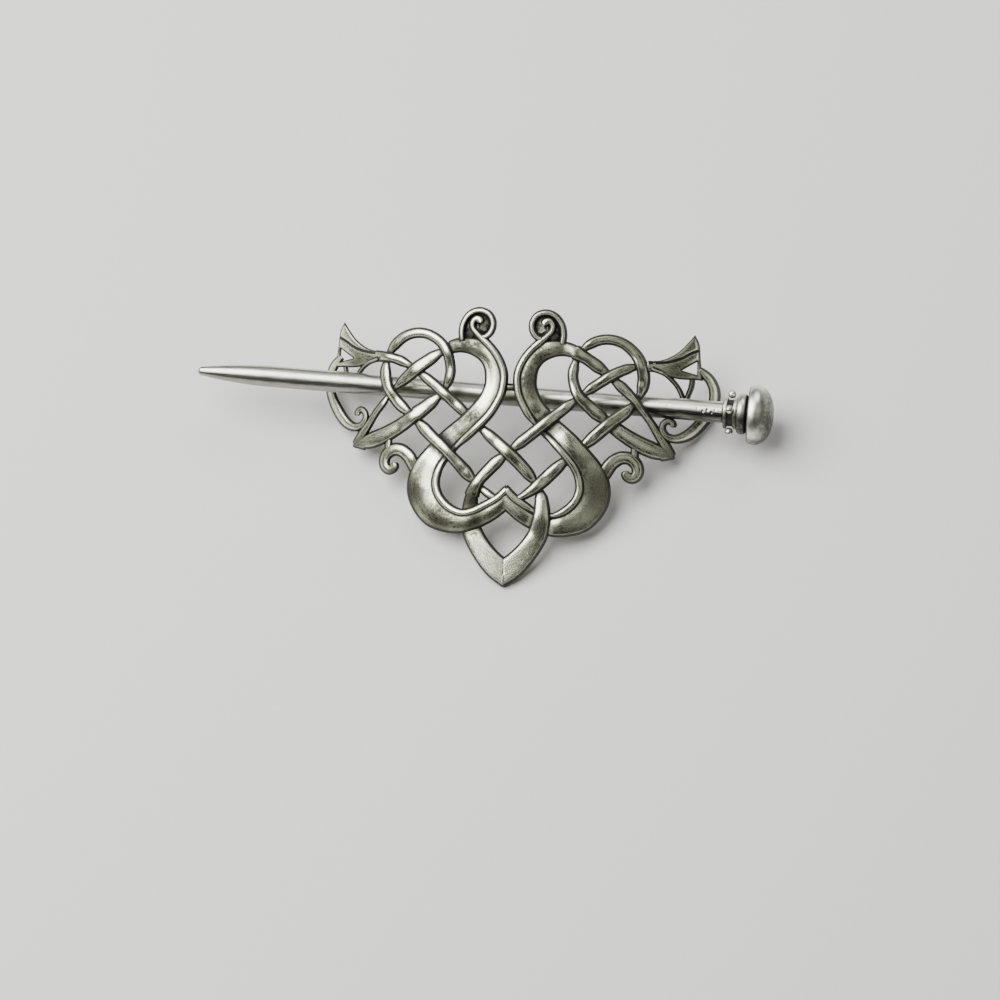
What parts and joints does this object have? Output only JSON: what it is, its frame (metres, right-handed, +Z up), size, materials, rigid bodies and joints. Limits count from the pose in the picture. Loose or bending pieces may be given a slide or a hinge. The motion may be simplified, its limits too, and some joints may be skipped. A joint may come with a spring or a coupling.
{
  "type": "stick barrette",
  "caption": "Arched, pierced knotwork hair slide in cast metal, with a tapered stick that slides under its rings to hold a bun or ponytail.",
  "frame": {"origin": "centre of the bounding box in plan, on the surface that the plate rests on", "axes": "+X along the stick towards its head, +Z up; the plate's face leans forward, with the tip of its drop towards -Y"},
  "size_m": [0.1254, 0.0576, 0.0292],
  "materials": {
    "antique_silver": "cast pewter with worn high spots and black patina in the recesses",
    "satin_silver": "satin, lightly pitted"
  },
  "bodies": {
    "plate": {"knot_plate": "antique_silver"},
    "stick": {"stick_shaft": "satin_silver", "beaded_collar": "antique_silver", "end_disc": "antique_silver", "domed_head": "antique_silver"}
  },
  "joints": [
    {"name": "stick_slide", "type": "slide", "parent": "plate", "child": "stick", "axis": [0.9991, -0.0371, -0.0194], "range_m": [0, 0.115]}
  ]
}
